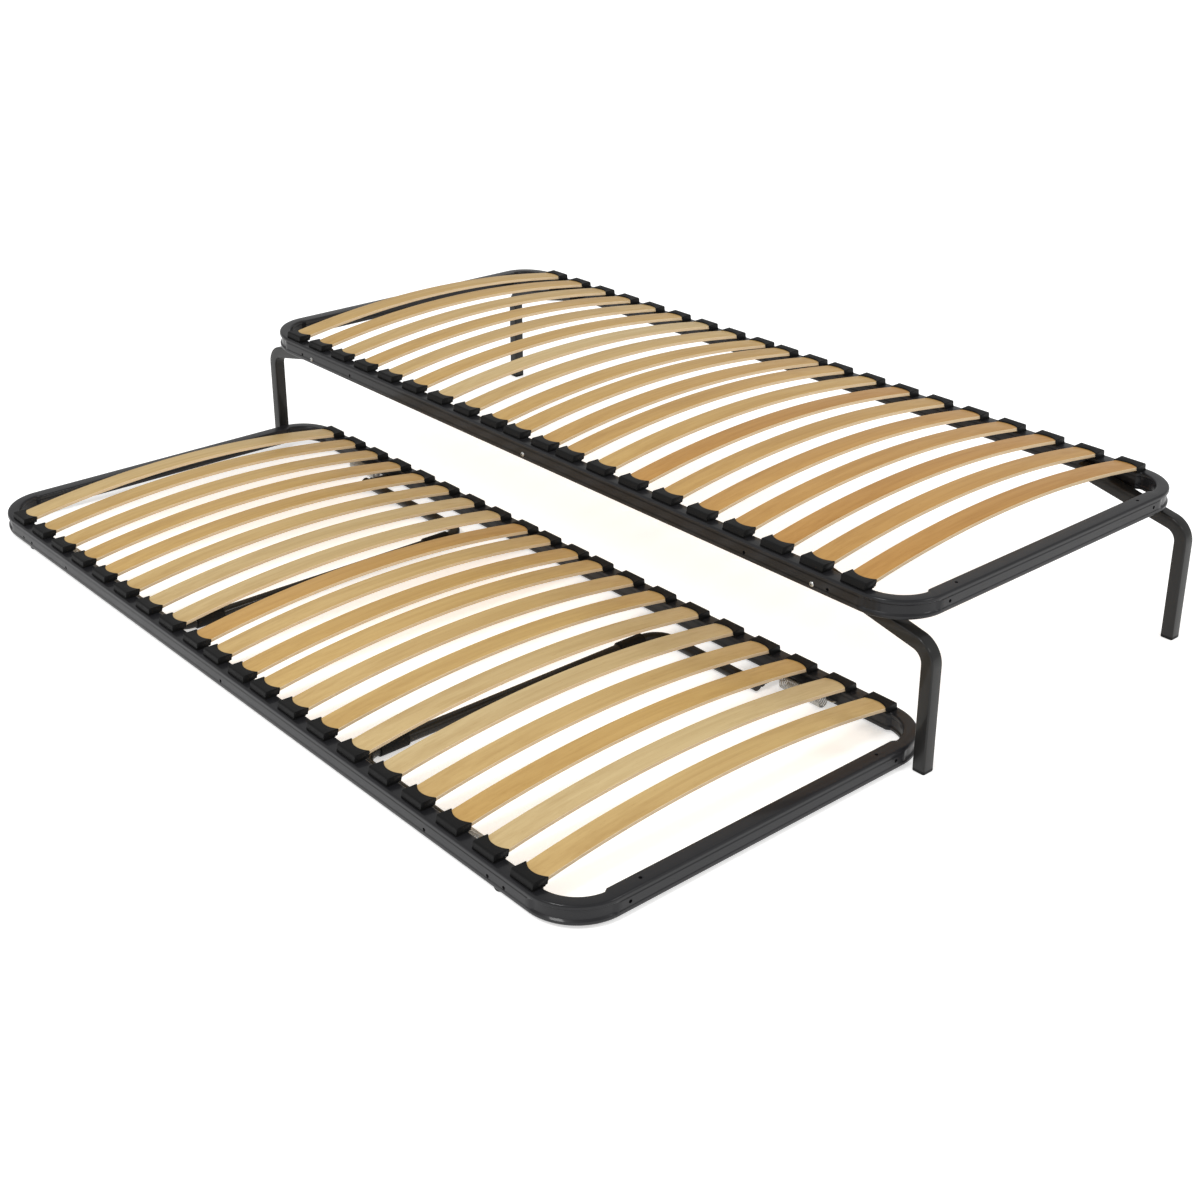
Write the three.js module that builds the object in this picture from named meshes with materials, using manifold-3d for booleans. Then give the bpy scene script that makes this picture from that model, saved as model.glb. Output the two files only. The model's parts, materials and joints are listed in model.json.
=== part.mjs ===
// Trundle bed: two slatted bed bases of one size. The upper one stands on four legs, and the
// lower one lies on the floor, half pulled out from under it, with its two lifting legs folded.
// Millimetres, +Z up, X along the bed, -Y the way the lower bed pulls out.
import * as THREE from "three";
import { mergeVertices } from "three/addons/utils/BufferGeometryUtils.js";
import Module from "manifold-3d";

// Bed frames
const BED_LENGTH = 1900;
const BED_WIDTH = 800;
const RAIL_WIDTH = 30;
const RAIL_HEIGHT = 35;
const RAIL_EDGE = 3;
const CORNER_RADIUS = 93;
const CORNER_STEPS = 8;
const ARC_SHARE = 2; // three.js cuts an arc into twice its curveSegments
const UPPER_BOTTOM = 256;
const LOWER_BOTTOM = 6;
const PULL_OUT = 685;
const LOWER_SHIFT = 4;
const GAP = 0.3;

// Slats: mirrored about the middle, where they lie closer together
const SLATS_PER_SIDE = 10;
const SLAT_FIRST = 43;
const SLAT_SECOND = 116.5;
const SLAT_PITCH = 89.9;
const SLAT_LENGTH = 766;
const SLAT_WIDTH = 50;
const SLAT_THICKNESS = 7.5;
const SLAT_RISE = 33;
const SLAT_SEAT = 0.8;
const SLAT_STEPS = 12;

// Slat holders: an outer wall and a roof over each slat end, on one thin strip
const HOLDER_LENGTH = 50;
const HOLDER_OUTER = 393;
const HOLDER_WALL = 7.5;
const HOLDER_TIP = 363;
const HOLDER_TOP = 13.6;
const HOLDER_ROOF_OUTER = 9.4;
const HOLDER_ROOF_TIP = 12.4;
const STRIP_HEIGHT = 3;

// Upper legs: square tube, bent once, along the inner face of the long rails
const LEG_TUBE = 25;
const LEG_EDGE = 3;
const LEG_OUT = 977;
const LEG_INNER_END = 742;
const LEG_SLOPE = THREE.MathUtils.degToRad(12);
const LEG_BEND = 35;
const LEG_KNEE_HEIGHT = 221;
const LEG_Y = BED_WIDTH / 2 - RAIL_WIDTH - GAP - LEG_TUBE / 2;

// Lifting legs of the lower bed: a U of round tube on two pivot pins, with a pad at each end of its bar
const LIFT_TUBE_RADIUS = 11;
const LIFT_BEND = 40;
const LIFT_ARMS = { front: 357, back: 308 };
const LIFT_HEIGHT = 8.5;
const PAD_RADIUS = 14;
const PAD_LENGTH = 58;
const PIN_RADIUS = 5;
const TUBE_SIDES = 10;
const BEND_STEPS = 5;
const LIFTS = {
  left: { pivot: -600, foot: -240 },
  right: { pivot: 620, foot: 361 },
};

// Springs between each pivot and the frame
const SPRING_RADIUS = 11;
const SPRING_WIRE = 1.6;
const SPRING_TURNS = 11;
const SPRING_LENGTH = 118;
const SPRING_Y = 352;
const SPRING_LEAD = 10;
const TURN_STEPS = 6;
const WIRE_SIDES = 6;

const GLIDE_RADIUS = 12;
const GLIDE_X = 780;
const GLIDE_SIDES = 16;

const wasm = await Module();
wasm.setup();

const paint = (color, roughness, metalness) =>
  new THREE.MeshStandardMaterial({ color, roughness, metalness });
const MATERIALS = {
  frame: paint(0x2f302f, 0.45, 0.4),
  slat: paint(0xd0ad78, 0.5, 0),
  holder: paint(0x17181a, 0.55, 0),
  leg: paint(0x2a2b2b, 0.4, 0.4),
  spring: paint(0x9a9a98, 0.35, 0.9),
  glide: paint(0x202020, 0.6, 0),
};

function solidOf(geometry) {
  const plain = geometry.clone();
  plain.deleteAttribute("normal");
  plain.deleteAttribute("uv");
  const merged = mergeVertices(plain, 1e-3);
  return new wasm.Manifold(
    new wasm.Mesh({
      numProp: 3,
      vertProperties: merged.attributes.position.array,
      triVerts: new Uint32Array(merged.index.array),
    }),
  );
}

function joined(geometries) {
  const whole = geometries.map(solidOf).reduce((sum, next) => sum.add(next));
  const mesh = whole.getMesh();
  const result = new THREE.BufferGeometry();
  result.setAttribute("position", new THREE.BufferAttribute(mesh.vertProperties, 3));
  result.setIndex(new THREE.BufferAttribute(mesh.triVerts, 1));
  return result;
}

function named(name, geometry, material) {
  const mesh = new THREE.Mesh(geometry, material);
  mesh.name = name;
  return mesh;
}

// A path whose extrusion steps fall exactly on the given stations.
class StationPath extends THREE.Curve {
  constructor(stations) {
    super();
    this.stations = stations;
  }

  getPoint(t) {
    const last = this.stations.length - 1;
    const index = Math.min(Math.floor(t * last), last - 1);
    return this.stations[index].clone().lerp(this.stations[index + 1], t * last - index);
  }

  getUtoTmapping(u) {
    return u;
  }
}

function sweptRound(stations, radius, sides) {
  const section = new THREE.Shape().absarc(0, 0, radius, 0, 2 * Math.PI, false);
  return new THREE.ExtrudeGeometry(section, {
    extrudePath: new StationPath(stations),
    steps: stations.length - 1,
    curveSegments: sides / ARC_SHARE,
  });
}

// A rounded rectangle of the bed's outline, moved inwards by inset.
function outline(Kind, inset) {
  const x = BED_LENGTH / 2 - CORNER_RADIUS;
  const y = BED_WIDTH / 2 - CORNER_RADIUS;
  const radius = CORNER_RADIUS - inset;
  const corners = [[x, y], [-x, y], [-x, -y], [x, -y]];
  const path = new Kind();
  corners.forEach(([cx, cy], turn) => {
    const start = (turn * Math.PI) / 2;
    path.absarc(cx, cy, radius, start, start + Math.PI / 2, false);
  });
  path.closePath();
  return path;
}

function frameGeometry() {
  const shape = outline(THREE.Shape, RAIL_EDGE);
  shape.holes.push(outline(THREE.Path, RAIL_WIDTH - RAIL_EDGE));
  const geometry = new THREE.ExtrudeGeometry(shape, {
    depth: RAIL_HEIGHT - 2 * RAIL_EDGE,
    bevelSize: RAIL_EDGE,
    bevelThickness: RAIL_EDGE,
    bevelSegments: 1,
    curveSegments: CORNER_STEPS / ARC_SHARE,
  });
  return geometry.translate(0, 0, RAIL_EDGE);
}

// Extrudes an outline drawn in the YZ plane along X, centred on X = 0.
function alongX(shape, length, curveSegments) {
  const options = { depth: length, bevelEnabled: false, curveSegments };
  const turn = new THREE.Matrix4().makeBasis(
    new THREE.Vector3(0, 1, 0),
    new THREE.Vector3(0, 0, 1),
    new THREE.Vector3(1, 0, 0),
  );
  return new THREE.ExtrudeGeometry(shape, options).applyMatrix4(turn).translate(-length / 2, 0, 0);
}

// A slat bows upwards: its end's underside is at height 0.
function slatGeometry() {
  const half = SLAT_LENGTH / 2;
  const radius = (half * half + SLAT_RISE * SLAT_RISE) / (2 * SLAT_RISE);
  const centre = SLAT_RISE - radius;
  const spread = Math.asin(half / radius);
  const right = Math.PI / 2 - spread;
  const left = Math.PI / 2 + spread;
  const shape = new THREE.Shape();
  shape.absarc(0, centre, radius, left, right, true);
  shape.absarc(0, centre, radius + SLAT_THICKNESS, right, left, false);
  shape.closePath();
  return alongX(shape, SLAT_WIDTH, SLAT_STEPS / ARC_SHARE);
}

function slatPlaces() {
  const right = [SLAT_FIRST, SLAT_SECOND];
  while (right.length < SLATS_PER_SIDE) right.push(right[right.length - 1] + SLAT_PITCH);
  return [...right.map((x) => -x).reverse(), ...right];
}

function holderGeometry() {
  const shape = new THREE.Shape();
  shape.moveTo(HOLDER_OUTER, GAP);
  shape.lineTo(HOLDER_OUTER, HOLDER_TOP);
  shape.lineTo(HOLDER_TIP, HOLDER_TOP);
  shape.lineTo(HOLDER_TIP, HOLDER_ROOF_TIP);
  shape.lineTo(HOLDER_OUTER - HOLDER_WALL, HOLDER_ROOF_OUTER);
  shape.lineTo(HOLDER_OUTER - HOLDER_WALL, GAP);
  shape.closePath();
  return alongX(shape, HOLDER_LENGTH, 1);
}

// One side's holders, joined by the strip that they stand on.
function holderRowGeometry() {
  const places = slatPlaces();
  const length = 2 * places[places.length - 1] + HOLDER_LENGTH;
  const strip = new THREE.BoxGeometry(length, HOLDER_WALL, STRIP_HEIGHT);
  strip.translate(0, HOLDER_OUTER - HOLDER_WALL / 2, GAP + STRIP_HEIGHT / 2);
  const holders = places.map((x) => holderGeometry().translate(x, 0, 0));
  return joined([strip, ...holders]);
}

// The side view of an upper leg, from its end under the slats, over the knee and down to the foot.
function legShape() {
  const half = LEG_TUBE / 2 - LEG_EDGE;
  const down = new THREE.Vector2(Math.cos(LEG_SLOPE), -Math.sin(LEG_SLOPE));
  const side = new THREE.Vector2(Math.sin(LEG_SLOPE), Math.cos(LEG_SLOPE));
  const knee = new THREE.Vector2(LEG_OUT, LEG_KNEE_HEIGHT);
  const tangent = LEG_BEND * Math.tan((Math.PI / 2 - LEG_SLOPE) / 2);
  const centre = new THREE.Vector2(LEG_OUT - LEG_BEND, LEG_KNEE_HEIGHT - tangent);
  const run = (LEG_OUT - LEG_INNER_END) / Math.cos(LEG_SLOPE);
  const end = knee.clone().addScaledVector(down, LEG_EDGE - run);
  const upper = end.clone().addScaledVector(side, half);
  const lower = end.clone().addScaledVector(side, -half);
  const start = Math.PI / 2 - LEG_SLOPE;
  const shape = new THREE.Shape();
  shape.moveTo(lower.x, lower.y);
  shape.absarc(centre.x, centre.y, LEG_BEND - half, start, 0, true);
  shape.lineTo(LEG_OUT - half, LEG_EDGE);
  shape.lineTo(LEG_OUT + half, LEG_EDGE);
  shape.absarc(centre.x, centre.y, LEG_BEND + half, 0, start, false);
  shape.lineTo(upper.x, upper.y);
  shape.closePath();
  return shape;
}

function legGeometry() {
  const geometry = new THREE.ExtrudeGeometry(legShape(), {
    depth: LEG_TUBE - 2 * LEG_EDGE,
    bevelSize: LEG_EDGE,
    bevelThickness: LEG_EDGE,
    bevelSegments: 1,
    curveSegments: CORNER_STEPS / ARC_SHARE,
  });
  const turn = new THREE.Matrix4().makeBasis(
    new THREE.Vector3(1, 0, 0),
    new THREE.Vector3(0, 0, 1),
    new THREE.Vector3(0, -1, 0),
  );
  return geometry.applyMatrix4(turn).translate(0, LEG_TUBE / 2 - LEG_EDGE, 0);
}

// A U of tube in the XY plane: two arms from the pivots, joined by the foot bar.
function liftGeometry({ pivot, foot }) {
  const inwards = Math.sign(foot - pivot);
  const railFace = BED_WIDTH / 2 - RAIL_WIDTH - GAP;
  const pinX = pivot + inwards * (PIN_RADIUS + GAP);
  const stations = [];
  const fittings = [];
  for (const [side, arm] of [[1, LIFT_ARMS.back], [-1, LIFT_ARMS.front]]) {
    const bendEnd = arm - LIFT_BEND;
    const bend = Array.from({ length: BEND_STEPS + 1 }, (_, step) => {
      const angle = (step / BEND_STEPS) * (Math.PI / 2);
      const x = foot - inwards * LIFT_BEND * (1 - Math.sin(angle));
      return new THREE.Vector3(x, side * (bendEnd + LIFT_BEND * Math.cos(angle)), 0);
    });
    const half = [new THREE.Vector3(pivot, side * arm, 0), ...bend];
    stations.push(...(side > 0 ? half : half.reverse()));
    const pinLength = railFace - arm;
    const padY = side * (bendEnd - PAD_LENGTH / 2);
    fittings.push(
      new THREE.CylinderGeometry(PIN_RADIUS, PIN_RADIUS, pinLength, TUBE_SIDES)
        .translate(pinX, side * (arm + pinLength / 2), 0),
      new THREE.CylinderGeometry(PAD_RADIUS, PAD_RADIUS, PAD_LENGTH, TUBE_SIDES)
        .translate(foot, padY, 0),
    );
  }
  const tube = sweptRound(stations, LIFT_TUBE_RADIUS, TUBE_SIDES);
  return joined([tube, ...fittings]).translate(0, 0, LIFT_HEIGHT);
}

// A tension spring along +X from x = 0: a straight lead, the coils, then a hook to the rail at +Y.
function springGeometry() {
  const stations = [new THREE.Vector3(0, 0, 0)];
  const coilSteps = SPRING_TURNS * TURN_STEPS;
  for (let step = 0; step <= coilSteps; step += 1) {
    const angle = (step / TURN_STEPS) * 2 * Math.PI;
    const x = SPRING_LEAD + (step / coilSteps) * (SPRING_LENGTH - 2 * SPRING_LEAD);
    const y = SPRING_RADIUS * Math.cos(angle);
    stations.push(new THREE.Vector3(x, y, SPRING_RADIUS * Math.sin(angle)));
  }
  const railFace = BED_WIDTH / 2 - RAIL_WIDTH - GAP - SPRING_Y;
  stations.push(new THREE.Vector3(SPRING_LENGTH, SPRING_RADIUS, 0));
  stations.push(new THREE.Vector3(SPRING_LENGTH, railFace, 0));
  return sweptRound(stations, SPRING_WIRE, WIRE_SIDES);
}

function addSlats(bed, prefix) {
  const geometry = slatGeometry().translate(0, 0, RAIL_HEIGHT + SLAT_SEAT);
  slatPlaces().forEach((x, index) => {
    const number = String(index + 1).padStart(2, "0");
    const slat = named(`${prefix}_slat_${number}`, geometry, MATERIALS.slat);
    slat.position.x = x;
    bed.add(slat);
  });
}

function addHolders(bed, prefix) {
  const geometry = holderRowGeometry().translate(0, 0, RAIL_HEIGHT);
  const back = named(`${prefix}_holders_back`, geometry, MATERIALS.holder);
  const front = named(`${prefix}_holders_front`, geometry, MATERIALS.holder);
  front.rotation.z = Math.PI;
  bed.add(back, front);
}

function slattedBase(prefix) {
  const bed = new THREE.Group();
  bed.add(named(`${prefix}_frame`, frameGeometry(), MATERIALS.frame));
  addSlats(bed, prefix);
  addHolders(bed, prefix);
  return bed;
}

function addLegs(bed) {
  const geometry = legGeometry().translate(0, 0, -UPPER_BOTTOM);
  for (const [side, turn] of [["right", 0], ["left", Math.PI]]) {
    for (const [end, y] of [["front", -LEG_Y], ["back", LEG_Y]]) {
      const leg = named(`leg_${end}_${side}`, geometry, MATERIALS.leg);
      leg.rotation.z = turn;
      leg.position.y = y;
      bed.add(leg);
    }
  }
}

function addLifts(bed) {
  const clearance = LIFT_TUBE_RADIUS;
  for (const [side, lift] of Object.entries(LIFTS)) {
    bed.add(named(`lift_leg_${side}`, liftGeometry(lift), MATERIALS.leg));
    const outwards = Math.sign(lift.pivot);
    for (const [end, y] of [["front", -1], ["back", 1]]) {
      const spring = named(`spring_${end}_${side}`, springGeometry(), MATERIALS.spring);
      spring.position.set(lift.pivot + outwards * clearance, y * SPRING_Y, LIFT_HEIGHT);
      spring.scale.set(outwards, y, 1);
      bed.add(spring);
    }
  }
}

// The four pads that the lower frame rests on.
function addGlides(bed) {
  const height = LOWER_BOTTOM - GAP;
  const geometry = new THREE.CylinderGeometry(GLIDE_RADIUS, GLIDE_RADIUS, height, GLIDE_SIDES)
    .rotateX(Math.PI / 2)
    .translate(0, 0, height / 2 - LOWER_BOTTOM);
  const middle = (BED_WIDTH - RAIL_WIDTH) / 2;
  for (const [side, x] of [["left", -GLIDE_X], ["right", GLIDE_X]]) {
    for (const [end, y] of [["front", -middle], ["back", middle]]) {
      const glide = named(`glide_${end}_${side}`, geometry, MATERIALS.glide);
      glide.position.set(x, y, 0);
      bed.add(glide);
    }
  }
}

const upper = slattedBase("upper");
addLegs(upper);
upper.position.set(0, PULL_OUT / 2, UPPER_BOTTOM);

const lower = slattedBase("lower");
addLifts(lower);
addGlides(lower);
lower.position.set(LOWER_SHIFT, -PULL_OUT / 2, LOWER_BOTTOM);

const trundleBed = new THREE.Group();
trundleBed.add(upper, lower);

export default trundleBed;
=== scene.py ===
"""Trundle bed: two slatted bases on black tube frames, rebuilt in detail around the CAD frame."""

import json
import math

import bmesh
import bpy
from mathutils import Matrix, Vector


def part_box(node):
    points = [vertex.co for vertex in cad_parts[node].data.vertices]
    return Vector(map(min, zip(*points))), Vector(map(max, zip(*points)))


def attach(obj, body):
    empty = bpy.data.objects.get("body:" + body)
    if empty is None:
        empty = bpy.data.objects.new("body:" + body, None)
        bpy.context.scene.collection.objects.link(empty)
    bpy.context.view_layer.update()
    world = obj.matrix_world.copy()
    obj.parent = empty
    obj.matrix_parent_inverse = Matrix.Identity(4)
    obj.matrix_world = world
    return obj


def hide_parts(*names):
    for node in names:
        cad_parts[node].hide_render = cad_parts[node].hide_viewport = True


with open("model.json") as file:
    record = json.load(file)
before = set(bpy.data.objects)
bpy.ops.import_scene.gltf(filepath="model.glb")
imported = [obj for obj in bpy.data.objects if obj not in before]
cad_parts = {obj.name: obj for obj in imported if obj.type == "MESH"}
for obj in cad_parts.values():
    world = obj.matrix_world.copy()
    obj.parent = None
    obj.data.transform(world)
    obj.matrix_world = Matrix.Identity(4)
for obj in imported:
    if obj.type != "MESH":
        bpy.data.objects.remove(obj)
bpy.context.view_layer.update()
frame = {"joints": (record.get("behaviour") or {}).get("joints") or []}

MM = 0.001
SHARP_DEGREES = 32
BEDS = {"upper": "upper_bed", "lower": "lower_bed"}
SLAT_COUNT = 20
SIDES = {"front": -1, "back": 1}
ENDS = {"left": -1, "right": 1}

# Rails. In a bend both walls sink in between two lips, and the inner wall also moves outwards.
RAIL_WIDTH = 30 * MM
CORNER_RADIUS = 93 * MM
RAIL_ROUND = 4 * MM
ROUND_STEPS = 5
LIP_HEIGHT = 7 * MM
OUTER_RECESS = 3.2 * MM
INNER_RECESS = 2.5 * MM
INNER_SHIFT = 5.5 * MM
RAMP_LENGTH = 9 * MM
BEND_STEPS = 32
# Rings just outside each bend, so that its smooth shading doesn't run along the straight rail.
GUARD_RINGS = 2
GUARD_SPACING = 6 * MM
# The left end of each bed bends up a little, from END_RISE_START left of its middle.
END_RISE = 9 * MM
END_RISE_START = 0.85

# Drilled holes, as distances from the bed's middle, and screws of the upper frame
HOLE_RADIUS = 3.2 * MM
HOLE_DEPTH = 6 * MM
HOLE_DROP = 4 * MM
LONG_RAIL_HOLES = {
    "upper": (-0.79, -0.60, 0.60, 0.79),
    "lower": (-0.803, -0.765, -0.608, 0.0, 0.608, 0.765, 0.803),
}
END_RAIL_HOLES = (-0.287, 0.287)
END_TOP_HOLES = (-0.255, 0.255)
UPPER_SCREWS = (-0.752, 0.0, 0.756)
SCREW_RADIUS = 4.6 * MM
SCREW_DROP = 6 * MM

# Slats
SLAT_WIDTH = 48.4 * MM
SLAT_THICKNESS = 7.5 * MM
SLAT_ROUND = 2.2 * MM
SLAT_CORNER = 9 * MM
SLAT_STEPS = 44
SLAT_END_STEPS = 6
SLAT_SHORTER = 3 * MM

# Slat holders
HOLDER_HALF = 25.3 * MM
HOLDER_CHEEK = 0.9 * MM
HOLDER_TOP = 13.4 * MM
HOLDER_DEPTH = 30 * MM
HOLDER_SCOOP = 9.5 * MM
HOLDER_SCOOP_POWER = 2.2
HOLDER_STEPS = 28

# Upper legs
LEG_TUBE = 25 * MM
LEG_ROUND = 3 * MM
LEG_BEND = 35 * MM
LEG_SLOPE = math.radians(12)
LEG_KNEE = 221 * MM
LEG_BEND_STEPS = 18
CAP_HEIGHT = 6 * MM

# Lifting legs, their pads and springs
LIFT_RADIUS = 11 * MM
LIFT_BEND = 40 * MM
LIFT_BEND_STEPS = 14
ARM_INSET = {"front": 12.7 * MM, "back": 61.7 * MM}
ARM_TAIL = 5 * MM
LONG_PIN = 30 * MM
PAD_RADIUS = 14 * MM
PAD_LENGTH = 58 * MM
SPRING_RADIUS = 10.6 * MM
SPRING_WIRE = 1.3 * MM
SPRING_TURNS = 24
SPRING_TURN_STEPS = 16
SPRING_LEAD = 9 * MM
SPRING_ENDS = 26 * MM

# Camera and studio
CAMERA_YAW = math.radians(49.008)
CAMERA_PITCH = math.radians(23.21)
CAMERA_ROLL = math.radians(0.112)
CAMERA_PLACE = Vector((2.4857, -2.0195, 1.528))
CAMERA_LENS = 52.8648
CAMERA_SENSOR = 36
CAMERA_SHIFT = -1 / 12
FLOOR_HALF = 30
FLOOR_GLOW = 0.50
WORLD_GLOW = 0.70

# How warm and dark each slat's face is, from 0 (pale birch) to 9 (red beech), left to right.
TONES = {
    "upper": "45353513556659688989",
    "lower": "24455311735434103503",
}


# ---------------------------------------------------------------- mesh helpers

def in_mm(pairs):
    return [(first * MM, second * MM) for first, second in pairs]


def new_object(name, bm, materials, sharp_degrees=SHARP_DEGREES):
    """Turns a bmesh into an object in the scene, smooth except at its sharp edges."""
    bmesh.ops.recalc_face_normals(bm, faces=bm.faces)
    mesh = bpy.data.meshes.new(name)
    bm.to_mesh(mesh)
    bm.free()
    for material in materials:
        mesh.materials.append(material)
    mesh.shade_smooth()
    mesh.set_sharp_from_angle(angle=math.radians(sharp_degrees))
    obj = bpy.data.objects.new(name, mesh)
    bpy.context.scene.collection.objects.link(obj)
    return obj


def loft(bm, rings, loop=False):
    """Joins rings of points into a tube: capped at its ends, or closed on itself."""
    made = [[bm.verts.new(point) for point in ring] for ring in rings]
    count = len(made[0])
    pairs = list(zip(made, made[1:]))
    if loop:
        pairs.append((made[-1], made[0]))
    faces = []
    for near, far in pairs:
        for i in range(count):
            j = (i + 1) % count
            faces.append(bm.faces.new((near[i], near[j], far[j], far[i])))
    if not loop:
        faces.append(bm.faces.new(made[0]))
        faces.append(bm.faces.new(list(reversed(made[-1]))))
    return faces


def rounded_section(half_u, half_v, radius, steps=4):
    """A rounded rectangle about the origin, counter-clockwise."""
    points = []
    for turn, (su, sv) in enumerate(((1, 1), (-1, 1), (-1, -1), (1, -1))):
        for step in range(steps + 1):
            angle = (turn + step / steps) * math.pi / 2
            u = su * (half_u - radius) + radius * math.cos(angle)
            v = sv * (half_v - radius) + radius * math.sin(angle)
            points.append((u, v))
    return points


def circle_section(radius, sides=20):
    angles = [2 * math.pi * i / sides for i in range(sides)]
    return [(radius * math.cos(angle), radius * math.sin(angle)) for angle in angles]


def sweep(bm, path, section, side):
    """Carries a section along a flat path; side is the fixed direction square to that path's plane."""
    side = Vector(side).normalized()
    rings = []
    for i, point in enumerate(path):
        ahead = path[min(i + 1, len(path) - 1)]
        behind = path[max(i - 1, 0)]
        across = side.cross((ahead - behind).normalized()).normalized()
        rings.append([point + side * u + across * v for u, v in section])
    return loft(bm, rings)


def arc_points(centre, start, end, radius, steps, plane):
    """Points of an arc about centre in the plane of two unit vectors."""
    first, second = (Vector(axis) for axis in plane)
    points = []
    for step in range(steps + 1):
        angle = start + (end - start) * step / steps
        points.append(centre + radius * (first * math.cos(angle) + second * math.sin(angle)))
    return points


def lathe(bm, profile, origin, axis, sides=20):
    """Turns (distance along axis, radius) pairs about an axis into a closed solid."""
    axis = Vector(axis).normalized()
    first = axis.orthogonal().normalized()
    second = axis.cross(first)
    rings = []
    for along, radius in profile:
        middle = Vector(origin) + axis * along
        rings.append([middle + first * u + second * v for u, v in circle_section(radius, sides)])
    return loft(bm, rings)


def cut(obj, cutter_bm):
    """Takes a closed mesh away from obj, and drops the cutter."""
    cutter = new_object(obj.name + "_cutter", cutter_bm, [])
    modifier = obj.modifiers.new("holes", "BOOLEAN")
    modifier.operation = "DIFFERENCE"
    modifier.solver = "MANIFOLD"
    modifier.object = cutter
    bpy.context.view_layer.update()
    graph = bpy.context.evaluated_depsgraph_get()
    mesh = bpy.data.meshes.new_from_object(obj.evaluated_get(graph))
    obj.modifiers.clear()
    obj.data = mesh
    mesh.set_sharp_from_angle(angle=math.radians(SHARP_DEGREES))
    bpy.data.objects.remove(cutter)


# ---------------------------------------------------------------- materials

class Nodes:
    """Short calls for building one material's node tree."""

    def __init__(self, name):
        self.material = bpy.data.materials.new(name)
        self.material.use_nodes = True
        self.tree = self.material.node_tree
        self.shader = self.tree.nodes["Principled BSDF"]

    def add(self, kind, **inputs):
        node = self.tree.nodes.new(kind)
        for name, value in inputs.items():
            socket = node.inputs[name.replace("_", " ")]
            if isinstance(value, bpy.types.NodeSocket):
                self.tree.links.new(value, socket)
            else:
                socket.default_value = value
        return node

    def link(self, output, socket):
        self.tree.links.new(output, self.shader.inputs[socket])

    def coordinates(self, scale):
        place = self.add("ShaderNodeTexCoord")
        return self.add("ShaderNodeMapping", Vector=place.outputs["Object"], Scale=scale)

    def noise(self, vector, scale, detail=4.0, roughness=0.6):
        return self.add("ShaderNodeTexNoise", Vector=vector, Scale=scale, Detail=detail,
                        Roughness=roughness)

    def ramp(self, value, stops):
        node = self.add("ShaderNodeValToRGB", Fac=value)
        while len(node.color_ramp.elements) < len(stops):
            node.color_ramp.elements.new(0.5)
        for element, (position, colour) in zip(node.color_ramp.elements, stops):
            element.position = position
            element.color = (*colour, 1)
        return node.outputs["Color"]

    def mix(self, factor, a, b, blend="MIX"):
        node = self.tree.nodes.new("ShaderNodeMix")
        node.data_type = "RGBA"
        node.blend_type = blend
        for index, value in ((0, factor), (6, a), (7, b)):
            if isinstance(value, bpy.types.NodeSocket):
                self.tree.links.new(value, node.inputs[index])
            else:
                node.inputs[index].default_value = (*value, 1) if index else value
        return node.outputs[2]

    def bump(self, height, strength, distance):
        node = self.add("ShaderNodeBump", Height=height, Strength=strength, Distance=distance)
        self.link(node.outputs["Normal"], "Normal")


def grey(value, warmth=0.0):
    return (value * (1 + warmth), value, value * (1 - warmth))


def powder_coat(name, base):
    """Satin black powder coat: an orange-peel skin and faint clouds."""
    n = Nodes(name)
    place = n.coordinates((1, 1, 1))
    clouds = n.noise(place.outputs[0], 9.0)
    darker, lighter = ([channel * share for channel in base] for share in (0.8, 1.2))
    colour = n.ramp(clouds.outputs["Fac"], ((0.3, darker), (0.7, lighter)))
    n.link(colour, "Base Color")
    peel = n.noise(place.outputs[0], 900.0, 2.0)
    rough = n.ramp(clouds.outputs["Fac"], ((0.3, grey(0.34)), (0.75, grey(0.46))))
    n.link(rough, "Roughness")
    n.shader.inputs["Metallic"].default_value = 0.0
    n.shader.inputs["Specular IOR Level"].default_value = 0.16
    n.shader.inputs["Coat Weight"].default_value = 0.24
    n.shader.inputs["Coat Roughness"].default_value = 0.10
    n.bump(peel.outputs["Fac"], 0.25, 0.0003)
    return n.material


def moulded_plastic(name, base):
    """Black plastic with a fine spark-eroded grain."""
    n = Nodes(name)
    place = n.coordinates((1, 1, 1))
    patches = n.noise(place.outputs[0], 14.0)
    colour = n.ramp(patches.outputs["Fac"], ((0.35, grey(base)), (0.7, grey(base * 1.5))))
    n.link(colour, "Base Color")
    rough = n.ramp(patches.outputs["Fac"], ((0.3, grey(0.46)), (0.7, grey(0.60))))
    n.link(rough, "Roughness")
    n.shader.inputs["Specular IOR Level"].default_value = 0.13
    grain = n.noise(place.outputs[0], 1800.0, 3.0)
    n.bump(grain.outputs["Fac"], 0.35, 0.0002)
    return n.material


def galvanised(name):
    """Zinc: bright and faintly blotched."""
    n = Nodes(name)
    place = n.coordinates((1, 1, 1))
    spangle = n.add("ShaderNodeTexVoronoi", Vector=place.outputs[0], Scale=260.0)
    bright, dull = (0.62, 0.62, 0.60), (0.38, 0.38, 0.37)
    colour = n.ramp(spangle.outputs["Distance"], ((0.0, bright), (0.8, dull)))
    n.link(colour, "Base Color")
    rough = n.ramp(spangle.outputs["Distance"], ((0.0, grey(0.24)), (0.9, grey(0.42))))
    n.link(rough, "Roughness")
    n.shader.inputs["Metallic"].default_value = 1.0
    n.bump(spangle.outputs["Distance"], 0.2, 0.0002)
    return n.material


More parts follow.
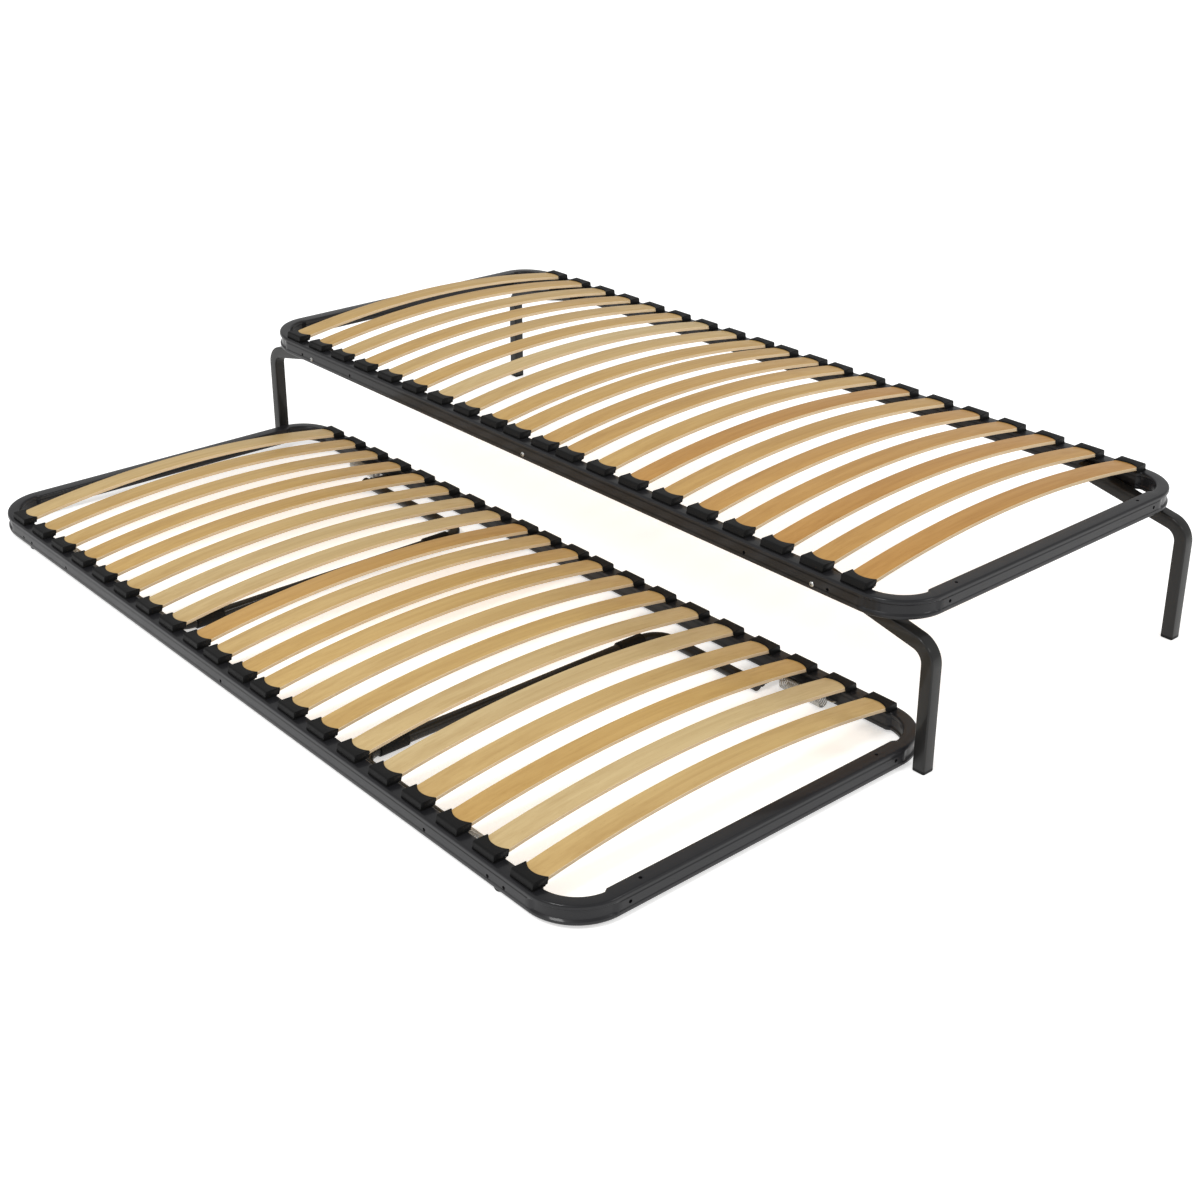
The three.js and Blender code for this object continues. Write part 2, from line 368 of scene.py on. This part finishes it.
def slat_face():
    """Lacquered veneer: long grain, short dark flecks, and a tone that each slat carries itself."""
    n = Nodes("slat_veneer")
    place = n.add("ShaderNodeTexCoord")
    seed = n.add("ShaderNodeAttribute")
    seed.attribute_name = "seed"
    tone = n.add("ShaderNodeAttribute")
    tone.attribute_name = "tone"
    shift = n.add("ShaderNodeVectorMath")
    shift.operation = "ADD"
    n.tree.links.new(place.outputs["Object"], shift.inputs[0])
    n.tree.links.new(seed.outputs["Vector"], shift.inputs[1])
    long_grain = n.add("ShaderNodeMapping", Vector=shift.outputs[0], Scale=(130, 2.4, 130))
    figure = n.add("ShaderNodeMapping", Vector=shift.outputs[0], Scale=(22, 1.3, 22))
    fleck = n.add("ShaderNodeMapping", Vector=shift.outputs[0], Scale=(700, 45, 700))
    fine = n.noise(long_grain.outputs[0], 1.0, 5.0)
    broad = n.noise(figure.outputs[0], 1.0, 3.0)
    flecks = n.noise(fleck.outputs[0], 1.0, 2.0)
    base = n.ramp(tone.outputs["Fac"], (
        (0.0, (0.600, 0.460, 0.235)),
        (0.5, (0.565, 0.375, 0.135)),
        (1.0, (0.500, 0.270, 0.075)),
    ))
    streaks = n.ramp(fine.outputs["Fac"], (
        (0.25, (0.80, 0.74, 0.66)),
        (0.6, (1, 1, 1)),
        (0.85, (0.90, 0.84, 0.76)),
    ))
    waves = n.ramp(broad.outputs["Fac"], ((0.3, (0.88, 0.82, 0.74)), (0.65, (1.04, 1.03, 1.02))))
    dashes = n.ramp(flecks.outputs["Fac"], ((0.26, (0.70, 0.58, 0.46)), (0.36, (1, 1, 1))))
    colour = n.mix(0.75, base, streaks, "MULTIPLY")
    colour = n.mix(0.8, colour, waves, "MULTIPLY")
    colour = n.mix(0.5, colour, dashes, "MULTIPLY")
    n.link(colour, "Base Color")
    rough = n.ramp(fine.outputs["Fac"], ((0.3, grey(0.46)), (0.8, grey(0.36))))
    n.link(rough, "Roughness")
    n.shader.inputs["Specular IOR Level"].default_value = 0.22
    n.bump(fine.outputs["Fac"], 0.25, 0.0004)
    return n.material


def slat_edge():
    """The cut edge of the plywood: pale plies with thin darker glue lines."""
    n = Nodes("slat_plywood_edge")
    depth = n.add("ShaderNodeAttribute")
    depth.attribute_name = "depth"
    plies = n.add("ShaderNodeMath")
    plies.operation = "PINGPONG"
    n.tree.links.new(depth.outputs["Fac"], plies.inputs[0])
    plies.inputs[1].default_value = 0.125
    lines = n.ramp(plies.outputs[0], (
        (0.0, (0.40, 0.26, 0.13)),
        (0.035, (0.68, 0.52, 0.32)),
        (0.12, (0.78, 0.63, 0.42)),
    ))
    place = n.coordinates((300, 9, 300))
    fibres = n.noise(place.outputs[0], 1.0)
    shade = n.ramp(fibres.outputs["Fac"], ((0.3, (0.84, 0.80, 0.74)), (0.7, (1, 1, 1))))
    n.link(n.mix(0.7, lines, shade, "MULTIPLY"), "Base Color")
    n.shader.inputs["Roughness"].default_value = 0.62
    n.bump(fibres.outputs["Fac"], 0.4, 0.0003)
    return n.material


# Painted shade: a near-black, faintly mottled colour that stands in for the shade inside the screws' cross
# recesses.
def paint_recess_shade():
    n = Nodes("painted_recess_shade")
    place = n.coordinates((1, 1, 1))
    shade_mottle = n.noise(place.outputs[0], 400.0)
    n.link(n.ramp(shade_mottle.outputs["Fac"], ((0.3, grey(0.004)), (0.7, grey(0.012)))), "Base Color")
    n.shader.inputs["Roughness"].default_value = 0.8
    return n.material


MATERIALS = {
    "frame": powder_coat("frame_powder_coat", (0.0108, 0.0108, 0.0122)),
    "leg": powder_coat("leg_powder_coat", (0.0115, 0.0112, 0.0106)),
    "holder": moulded_plastic("holder_plastic", 0.0040),
    "cap": moulded_plastic("cap_plastic", 0.0050),
    "zinc": galvanised("zinc_plate"),
    "veneer": slat_face(),
    "edge": slat_edge(),
    # painted shade for the screws' cross recesses
    "recess_shade": paint_recess_shade(),
}


# ---------------------------------------------------------------- frames

def rail_section(height, recess):
    """A rail's section as (outwards, up) points; recess is 0 on a straight and 1 in a bend."""
    halves = []
    for sign, depth, shift in ((1, OUTER_RECESS, 0), (-1, INNER_RECESS, INNER_SHIFT)):
        edge = RAIL_WIDTH / 2 - shift * recess
        wall = edge - depth * recess
        half = [
            (wall, height / 2),
            (wall, height / 4),
            (wall, LIP_HEIGHT + 3 * MM),
            ((edge + wall) / 2, LIP_HEIGHT + 1.2 * MM),
            (edge, LIP_HEIGHT),
            (edge, RAIL_ROUND + 0.8 * MM),
        ]
        for step in range(ROUND_STEPS + 1):
            angle = math.pi / 2 * step / ROUND_STEPS
            out = edge - RAIL_ROUND * (1 - math.cos(angle))
            half.append((out, RAIL_ROUND * (1 - math.sin(angle))))
        upper = [(sign * w, height - h) for w, h in half]
        lower = [(sign * w, h) for w, h in reversed(half[1:])]
        halves.append((upper, lower))
    (outer_up, outer_down), (inner_up, inner_down) = halves
    return outer_up + list(reversed(inner_up)) + list(reversed(inner_down)) + outer_down


def frame_stations(half_x, half_y):
    """Places along the rail's centre line: (point, outward direction, share of the bend's section)."""
    radius = CORNER_RADIUS - RAIL_WIDTH / 2
    stations = []
    ramp_angle = RAMP_LENGTH / radius
    for turn, (sx, sy) in enumerate(((1, 1), (-1, 1), (-1, -1), (1, -1))):
        centre = Vector((sx * (half_x - CORNER_RADIUS), sy * (half_y - CORNER_RADIUS), 0))
        for step in range(-GUARD_RINGS, BEND_STEPS + GUARD_RINGS + 1):
            inside = min(max(math.pi / 2 * step / BEND_STEPS, 0), math.pi / 2)
            angle = turn * math.pi / 2 + inside
            out = Vector((math.cos(angle), math.sin(angle), 0))
            along = Vector((-out.y, out.x, 0))
            past = min(step, 0) + max(step - BEND_STEPS, 0)
            share = min(1, min(inside, math.pi / 2 - inside) / ramp_angle)
            place = centre + out * radius + along * past * GUARD_SPACING
            stations.append((place, out, share * share * (3 - 2 * share)))
    return stations


def frame_rings(low, high):
    """The rail's rings all the way round one frame, whose box is given."""
    centre = (low + high) / 2
    base = Vector((centre.x, centre.y, low.z))
    height = high.z - low.z
    rings = []
    half_x = (high.x - low.x) / 2
    for point, out, share in frame_stations(half_x, (high.y - low.y) / 2):
        section = rail_section(height, share)
        lift = END_RISE * max(0, -point.x - END_RISE_START) / (half_x - END_RISE_START)
        rings.append([base + point + out * w + Vector((0, 0, h + lift)) for w, h in section])
    return rings


def hole_places(prefix, low, high):
    """Drilled holes of one frame as (centre, direction into the rail)."""
    centre = (low + high) / 2
    places = []
    for x in LONG_RAIL_HOLES[prefix]:
        for rail_y, into in ((low.y, 1), (high.y, -1)):
            places.append((Vector((centre.x + x, rail_y, centre.z - HOLE_DROP)), Vector((0, into, 0))))
    for sign, x in ((-1, low.x), (1, high.x)):
        for y in END_RAIL_HOLES:
            places.append((Vector((x, centre.y + y, centre.z)), Vector((-sign, 0, 0))))
        for y in END_TOP_HOLES:
            inboard = x - sign * RAIL_WIDTH / 2
            places.append((Vector((inboard, centre.y + y, high.z)), Vector((0, 0, -1))))
    return places


def build_frame(prefix):
    low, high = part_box(f"{prefix}_frame")
    bm = bmesh.new()
    loft(bm, frame_rings(low, high), loop=True)
    rail = new_object(f"{prefix}_rail", bm, [MATERIALS["frame"]])
    cutter = bmesh.new()
    for place, into in hole_places(prefix, low, high):
        start = place - into * MM
        lathe(cutter, ((0, HOLE_RADIUS), (HOLE_DEPTH, HOLE_RADIUS)), start, into, 16)
    cut(rail, cutter)
    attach(rail, BEDS[prefix])
    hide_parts(f"{prefix}_frame")


# ---------------------------------------------------------------- slats

def slat_stations(length):
    """Distances from the middle, close together near the rounded ends."""
    half = length / 2
    inner = half - SLAT_CORNER
    body = [inner * (2 * i / SLAT_STEPS - 1) for i in range(SLAT_STEPS + 1)]
    turns = [math.pi / 2 * i / SLAT_END_STEPS for i in range(1, SLAT_END_STEPS + 1)]
    ends = [inner + SLAT_CORNER * math.sin(turn) for turn in turns]
    return [-y for y in reversed(ends)] + body + ends


def slat_half_width(y, length):
    """Half of the slat's width at y: its plan corners are rounded."""
    past = abs(y) - (length / 2 - SLAT_CORNER)
    if past <= 0:
        return SLAT_WIDTH / 2
    return SLAT_WIDTH / 2 - SLAT_CORNER + math.sqrt(max(SLAT_CORNER ** 2 - past ** 2, 0))


def slat_rings(length, rise, section):
    """The slat's sections from end to end of its arch, each square to the arch."""
    radius = ((length / 2) ** 2 + rise ** 2) / (2 * rise)
    rings = []
    for y in slat_stations(length):
        narrow = SLAT_WIDTH / 2 - slat_half_width(y, length)
        angle = math.asin(y / radius)
        up = Vector((0, math.sin(angle), math.cos(angle)))
        middle = Vector((0, y, rise - radius + math.sqrt(radius ** 2 - y ** 2)))
        middle += up * SLAT_THICKNESS / 2
        ring = []
        for u, v in section:
            ring.append(middle + Vector((u - math.copysign(narrow, u), 0, 0)) + up * v)
        rings.append(ring)
    return rings


def build_slat(prefix, number):
    name = f"{prefix}_slat_{number:02d}"
    low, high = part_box(name)
    section = rounded_section(SLAT_WIDTH / 2, SLAT_THICKNESS / 2, SLAT_ROUND)
    bm = bmesh.new()
    depth_layer = bm.verts.layers.float.new("depth")
    loft(bm, slat_rings(high.y - low.y - SLAT_SHORTER, high.z - low.z - SLAT_THICKNESS, section))
    for index, vert in enumerate(bm.verts):
        vert[depth_layer] = section[index % len(section)][1] / SLAT_THICKNESS + 0.5
    slat = new_object(name + "_bent", bm, [MATERIALS["veneer"], MATERIALS["edge"]], 50)
    for polygon in slat.data.polygons:
        if abs(polygon.normal.x) > 0.8 or abs(polygon.normal.y) > 0.7:
            polygon.material_index = 1
    count = len(slat.data.vertices)
    tone = int(TONES[prefix][number - 1]) / 9
    seed = number * 1.37 + (40 if prefix == "lower" else 0)
    slat.data.attributes.new("tone", "FLOAT", "POINT").data.foreach_set("value", [tone] * count)
    seeds = slat.data.attributes.new("seed", "FLOAT_VECTOR", "POINT")
    seeds.data.foreach_set("vector", [seed, seed * 2.3, seed * 0.7] * count)
    slat.location = ((low.x + high.x) / 2, (low.y + high.y) / 2, low.z)
    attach(slat, BEDS[prefix])
    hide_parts(name)


# ---------------------------------------------------------------- slat holders

def holder_mouth(s):
    """How far the roof reaches inwards from the outer wall, s along the rail from the middle."""
    return HOLDER_DEPTH - HOLDER_SCOOP * (1 - (abs(s) / HOLDER_HALF) ** HOLDER_SCOOP_POWER)


def holder_section(reach, solid):
    """The holder's section as (inwards, up) points, for the wall and roof or for a whole cheek."""
    top = HOLDER_TOP
    outside = in_mm(((0, 0.3), (-0.6, 2.6), (0.2, 3.2)))
    outside += [
        (0.9 * MM, top - 3 * MM),
        (1.6 * MM, top - 1.2 * MM),
        (3 * MM, top - 0.2 * MM),
        (5 * MM, top),
    ]
    roof = [
        (reach * 0.5, top - 0.3 * MM),
        (reach - 2.5 * MM, top - 0.4 * MM),
        (reach - 0.8 * MM, top - 1.0 * MM),
        (reach, top - 2.2 * MM),
    ]
    if solid:
        inside = [
            (reach, top - 4 * MM),
            (reach - 0.6 * MM, top - 6.0 * MM),
            (reach - 2.2 * MM, 0.6 * MM),
        ]
    else:
        inside = [(reach, top - 2.3 * MM), (reach - 0.4 * MM, top - 2.4 * MM)]
        inside += in_mm(((9, 9.7), (8, 9.2), (7.4, 8), (7.4, 0.3)))
    return outside + roof + inside


def add_holder(bm, x, y_outer, sign, z):
    """One holder whose outer wall is at y_outer, on the side sign of the bed."""
    def place(s, point):
        inwards, up = point
        return Vector((x + s, y_outer - sign * inwards, z + up))

    inner = HOLDER_HALF - HOLDER_CHEEK
    rings = []
    for step in range(HOLDER_STEPS + 1):
        s = inner * (2 * step / HOLDER_STEPS - 1)
        rings.append([place(s, p) for p in holder_section(holder_mouth(s), False)])
    loft(bm, rings)
    for side in (-1, 1):
        stations = ((inner - 0.2 * MM, 0), (HOLDER_HALF - 0.3 * MM, 0), (HOLDER_HALF, 0.5 * MM))
        rings = []
        for s, shrink in stations:
            section = holder_section(holder_mouth(s) - shrink, True)
            rings.append([place(side * s, (i, u - shrink * (u > 5 * MM))) for i, u in section])
        loft(bm, rings)
    base = rounded_section(HOLDER_HALF + 1.6 * MM, 12 * MM, 1.5 * MM)
    middle = y_outer - sign * 11.2 * MM
    levels = (z + 0.15 * MM, z + 0.75 * MM)
    loft(bm, [[Vector((x + u, middle + v, level)) for u, v in base] for level in levels])


def build_holders(prefix, side):
    node = f"{prefix}_holders_{side}"
    low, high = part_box(node)
    sign = SIDES[side]
    rail_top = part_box(f"{prefix}_frame")[1].z
    outer_y = high.y if sign > 0 else low.y
    bm = bmesh.new()
    for number in range(1, SLAT_COUNT + 1):
        slat_low, slat_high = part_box(f"{prefix}_slat_{number:02d}")
        add_holder(bm, (slat_low.x + slat_high.x) / 2, outer_y, sign, rail_top)
    holders = new_object(f"{prefix}_{side}_slat_holders", bm, [MATERIALS["holder"]], 40)
    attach(holders, BEDS[prefix])
    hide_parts(node)


# ---------------------------------------------------------------- upper legs

def leg_path(inner_x, outer_x, sign, y):
    """Centre line of an upper leg: down the slope, round the knee and straight down."""
    def at(x, z):
        return Vector((sign * x, y, z))

    tangent = LEG_BEND * math.tan((math.pi / 2 - LEG_SLOPE) / 2)
    centre_x = outer_x - LEG_BEND
    centre_z = LEG_KNEE - tangent
    start_z = LEG_KNEE + (outer_x - inner_x) * math.tan(LEG_SLOPE)
    path = [at(inner_x, start_z)]
    for step in range(LEG_BEND_STEPS + 1):
        angle = (math.pi / 2 - LEG_SLOPE) * (1 - step / LEG_BEND_STEPS)
        path.append(at(centre_x + LEG_BEND * math.cos(angle), centre_z + LEG_BEND * math.sin(angle)))
    path.append(at(outer_x, CAP_HEIGHT))
    return path


def build_leg(side, end):
    node = f"leg_{side}_{end}"
    low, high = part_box(node)
    sign = ENDS[end]
    y = (low.y + high.y) / 2
    outer_x = max(abs(low.x), abs(high.x)) - LEG_TUBE / 2
    inner_x = min(abs(low.x), abs(high.x)) + 3 * MM
    section = rounded_section(LEG_TUBE / 2, LEG_TUBE / 2, LEG_ROUND, 5)
    bm = bmesh.new()
    sweep(bm, leg_path(inner_x, outer_x, sign, y), section, (0, 1, 0))
    leg = new_object(f"{node}_tube", bm, [MATERIALS["leg"]])
    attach(leg, "upper_bed")
    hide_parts(node)
    build_cap(node, sign * outer_x, y)


def build_cap(node, x, y):
    """The plastic foot, which tapers a little to the floor."""
    bm = bmesh.new()
    rings = []
    for height, half in in_mm(((0.0, 11.6), (0.6, 12.2), (2.0, 12.5), (5.9, 12.5))):
        section = rounded_section(half, half, LEG_ROUND, 5)
        rings.append([Vector((x + u, y + v, height)) for u, v in section])
    loft(bm, rings)
    cap = new_object(f"{node}_cap", bm, [MATERIALS["cap"]])
    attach(cap, "upper_bed")


# ---------------------------------------------------------------- lifting legs and springs

def lift_path(start_x, foot, sign, arms, z):
    """Centre line of the U: along the back arm, the bar under the slats and the front arm."""
    path = [Vector((start_x, arms[1], z))]
    for side in (1, -1):
        centre = Vector((foot + sign * LIFT_BEND, arms[side] - side * LIFT_BEND, z))
        plane = ((-sign, 0, 0), (0, side, 0))
        bend = arc_points(centre, math.pi / 2, 0, LIFT_BEND, LIFT_BEND_STEPS, plane)
        path += bend if side > 0 else list(reversed(bend))
    path.append(Vector((start_x, arms[-1], z)))
    return path


def pin_profile(reach):
    """The pivot pin from arm to rail: a long one has a washer and a spacer tube."""
    if reach < LONG_PIN:
        return [(0, 4 * MM), (reach, 4 * MM)]
    spacer_end = reach - 6 * MM
    profile = in_mm(((0, 4), (12, 4), (12.1, 9), (14.5, 9), (14.6, 7)))
    return profile + [(spacer_end, 7 * MM), (spacer_end + 0.1 * MM, 4 * MM), (reach, 4 * MM)]


def build_lift(end):
    node = f"lift_leg_{end}"
    low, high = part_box(node)
    sign = ENDS[end]
    hinge = next(joint for joint in frame["joints"] if joint["name"] == f"{end}_lift_fold")
    pivot = Vector(hinge["pos_m"])
    foot = low.x + PAD_RADIUS if sign > 0 else high.x - PAD_RADIUS
    arms = {1: high.y - ARM_INSET["back"], -1: low.y + ARM_INSET["front"]}
    bm = bmesh.new()
    path = lift_path(pivot.x + sign * ARM_TAIL, foot, sign, arms, pivot.z)
    sweep(bm, path, circle_section(LIFT_RADIUS, 24), (0, 0, 1))
    for side, rail_y in ((1, high.y), (-1, low.y)):
        reach = (rail_y - arms[side]) * side
        lathe(bm, pin_profile(reach), (pivot.x, arms[side], pivot.z), (0, side, 0), 18)
    leg = new_object(f"{node}_tube", bm, [MATERIALS["leg"]])
    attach(leg, f"{end}_lift")
    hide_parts(node)
    build_pads(end, foot, arms, pivot.z)


def build_pads(end, foot, arms, z):
    """Plastic sleeves at both ends of the bar, which the leg stands on when it is folded out."""
    near_end = in_mm(((0, 11.2), (0.1, 13), (1.4, 14)))
    far_end = [(PAD_LENGTH - along, radius) for along, radius in reversed(near_end)]
    bm = bmesh.new()
    for side, arm_y in arms.items():
        start = (foot, arm_y - side * LIFT_BEND, z)
        lathe(bm, near_end + far_end, start, (0, -side, 0), 28)
    pads = new_object(f"lift_pads_{end}", bm, [MATERIALS["cap"]])
    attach(pads, f"{end}_lift")


def spring_path(low, high, out, across):
    """Centre line of the wire: a short lead, the coil and a tail out to the rail."""
    z = (low.z + high.z) / 2
    start_x = low.x if out > 0 else high.x
    length = high.x - low.x
    rail_y, inner_y = (high.y, low.y) if across > 0 else (low.y, high.y)
    axis_y = inner_y + across * (SPRING_RADIUS + SPRING_WIRE)
    path = [Vector((start_x, axis_y, z)), Vector((start_x + out * SPRING_LEAD * 0.6, axis_y, z))]
    steps = SPRING_TURNS * SPRING_TURN_STEPS
    for step in range(steps + 1):
        angle = 2 * math.pi * step / SPRING_TURN_STEPS
        x = start_x + out * (SPRING_LEAD + (length - SPRING_ENDS) * step / steps)
        y = axis_y + across * SPRING_RADIUS * math.cos(angle)
        path.append(Vector((x, y, z + SPRING_RADIUS * math.sin(angle))))
    end_x = start_x + out * (length - 6 * MM)
    path.append(Vector((end_x, axis_y + across * SPRING_RADIUS, z)))
    path.append(Vector((end_x + out * 3 * MM, rail_y - across * MM, z)))
    return path


def wire_object(name, path, radius, material):
    """A round wire along a path, made as a curve and kept as a mesh."""
    curve = bpy.data.curves.new(name, "CURVE")
    curve.dimensions = "3D"
    curve.bevel_depth = radius
    curve.bevel_resolution = 3
    curve.use_fill_caps = True
    spline = curve.splines.new("POLY")
    spline.points.add(len(path) - 1)
    for point, place in zip(spline.points, path):
        point.co = (*place, 1)
    source = bpy.data.objects.new(name, curve)
    bpy.context.scene.collection.objects.link(source)
    bpy.context.view_layer.update()
    graph = bpy.context.evaluated_depsgraph_get()
    mesh = bpy.data.meshes.new_from_object(source.evaluated_get(graph))
    bpy.data.objects.remove(source)
    mesh.materials.clear()
    mesh.materials.append(material)
    mesh.shade_smooth()
    wire = bpy.data.objects.new(name, mesh)
    bpy.context.scene.collection.objects.link(wire)
    return wire


def build_spring(side, end):
    node = f"spring_{side}_{end}"
    low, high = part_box(node)
    path = spring_path(low, high, ENDS[end], SIDES[side])
    spring = wire_object(f"{node}_wire", path, SPRING_WIRE, MATERIALS["zinc"])
    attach(spring, "lower_bed")
    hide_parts(node)


# ---------------------------------------------------------------- small fittings

def build_glide(side, end):
    node = f"glide_{side}_{end}"
    low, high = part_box(node)
    centre = (low + high) / 2
    radius = (high.x - low.x) / 2
    profile = ((0.0, radius - 2 * MM), (0.8 * MM, radius - 0.6 * MM), (2 * MM, radius), (5.6 * MM, radius))
    bm = bmesh.new()
    lathe(bm, profile, (centre.x, centre.y, 0), (0, 0, 1), 28)
    glide = new_object(f"{node}_pad", bm, [MATERIALS["cap"]])
    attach(glide, "lower_bed")
    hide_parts(node)


def cross_head(bm, place, out):
    """A pan-head screw on a face, with its cross recess as two thin bars of painted shade on the head."""
    radius = SCREW_RADIUS
    out = Vector(out)
    first = out.orthogonal().normalized()
    second = out.cross(first)
    head = (
        (-0.4 * MM, radius),
        (0.8 * MM, radius),
        (1.9 * MM, radius * 0.78),
        (2.4 * MM, radius * 0.45),
    )
    lathe(bm, head, place, out, 20)
    for along, across in ((first, second), (second, first)):
        ring = []
        for u, v in ((1, 1), (-1, 1), (-1, -1), (1, -1)):
            ring.append(Vector(place) + along * u * radius * 0.5 + across * v * radius * 0.13)
        rings = [[p + out * h for p in ring] for h in (2.3 * MM, 2.45 * MM)]
        for face in loft(bm, rings):
            face.material_index = 1


def build_screws(prefix, places):
    low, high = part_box(f"{prefix}_frame")
    centre = (low + high) / 2
    bm = bmesh.new()
    for x in places:
        for rail_y, out in ((low.y, -1), (high.y, 1)):
            cross_head(bm, (centre.x + x, rail_y, centre.z - SCREW_DROP), (0, out, 0))
    # The second material is painted shade, for the cross recesses.
    screws = new_object(f"{prefix}_frame_screws", bm, [MATERIALS["zinc"], MATERIALS["recess_shade"]])
    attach(screws, BEDS[prefix])


# ---------------------------------------------------------------- stage

def build_camera():
    forward = Vector((-math.sin(CAMERA_YAW) * math.cos(CAMERA_PITCH),
                      math.cos(CAMERA_YAW) * math.cos(CAMERA_PITCH),
                      -math.sin(CAMERA_PITCH)))
    level = Vector((math.cos(CAMERA_YAW), math.sin(CAMERA_YAW), 0))
    above = level.cross(forward)
    right = level * math.cos(CAMERA_ROLL) + above * math.sin(CAMERA_ROLL)
    up = right.cross(forward)
    data = bpy.data.cameras.new("photo_camera")
    data.lens = CAMERA_LENS
    data.sensor_width = CAMERA_SENSOR
    data.shift_y = CAMERA_SHIFT
    data.clip_end = 60
    camera = bpy.data.objects.new("photo_camera", data)
    turn = Matrix((right, up, -forward)).transposed().to_4x4()
    camera.matrix_world = Matrix.Translation(CAMERA_PLACE) @ turn
    bpy.context.scene.collection.objects.link(camera)
    bpy.context.scene.camera = camera


def area_light(name, place, target, size, power):
    data = bpy.data.lights.new(name, "AREA")
    data.size = size
    data.energy = power
    light = bpy.data.objects.new(name, data)
    direction = Vector(target) - Vector(place)
    turn = direction.to_track_quat("-Z", "Y").to_matrix().to_4x4()
    light.matrix_world = Matrix.Translation(place) @ turn
    bpy.context.scene.collection.objects.link(light)


def floor_material():
    """A pale floor that glows a little, so that the light around the bed stays even."""
    n = Nodes("pale_floor")
    place = n.coordinates((1, 1, 1))
    soft = n.noise(place.outputs[0], 0.8)
    pale, paler = (0.90, 0.90, 0.895), (0.93, 0.93, 0.925)
    n.link(n.ramp(soft.outputs["Fac"], ((0.3, pale), (0.7, paler))), "Base Color")
    n.shader.inputs["Roughness"].default_value = 0.9
    n.shader.inputs["Emission Color"].default_value = (1, 1, 1, 1)
    n.shader.inputs["Emission Strength"].default_value = FLOOR_GLOW
    return n.material


def build_stage():
    bm = bmesh.new()
    bmesh.ops.create_grid(bm, x_segments=1, y_segments=1, size=FLOOR_HALF)
    floor = new_object("floor", bm, [floor_material()])
    floor.location.z = -0.5 * MM
    world = bpy.data.worlds.new("studio")
    world.use_nodes = True
    background = world.node_tree.nodes["Background"]
    background.inputs["Color"].default_value = (1, 1, 1, 1)
    background.inputs["Strength"].default_value = WORLD_GLOW
    bpy.context.scene.world = world
    area_light("key", (1.0, -3.2, 3.6), (0, -0.3, 0.1), 1.3, 85)
    area_light("side", (3.6, 1.2, 2.6), (0, 0, 0.2), 0.9, 26)
    bpy.context.scene.view_settings.view_transform = "Standard"


# ---------------------------------------------------------------- all of it

for bed in BEDS:
    build_frame(bed)
    for slat_number in range(1, SLAT_COUNT + 1):
        build_slat(bed, slat_number)
    for rail_side in SIDES:
        build_holders(bed, rail_side)
for rail_side in SIDES:
    for bed_end in ENDS:
        build_leg(rail_side, bed_end)
        build_spring(rail_side, bed_end)
        build_glide(rail_side, bed_end)
for bed_end in ENDS:
    build_lift(bed_end)
build_screws("upper", UPPER_SCREWS)
build_camera()
build_stage()
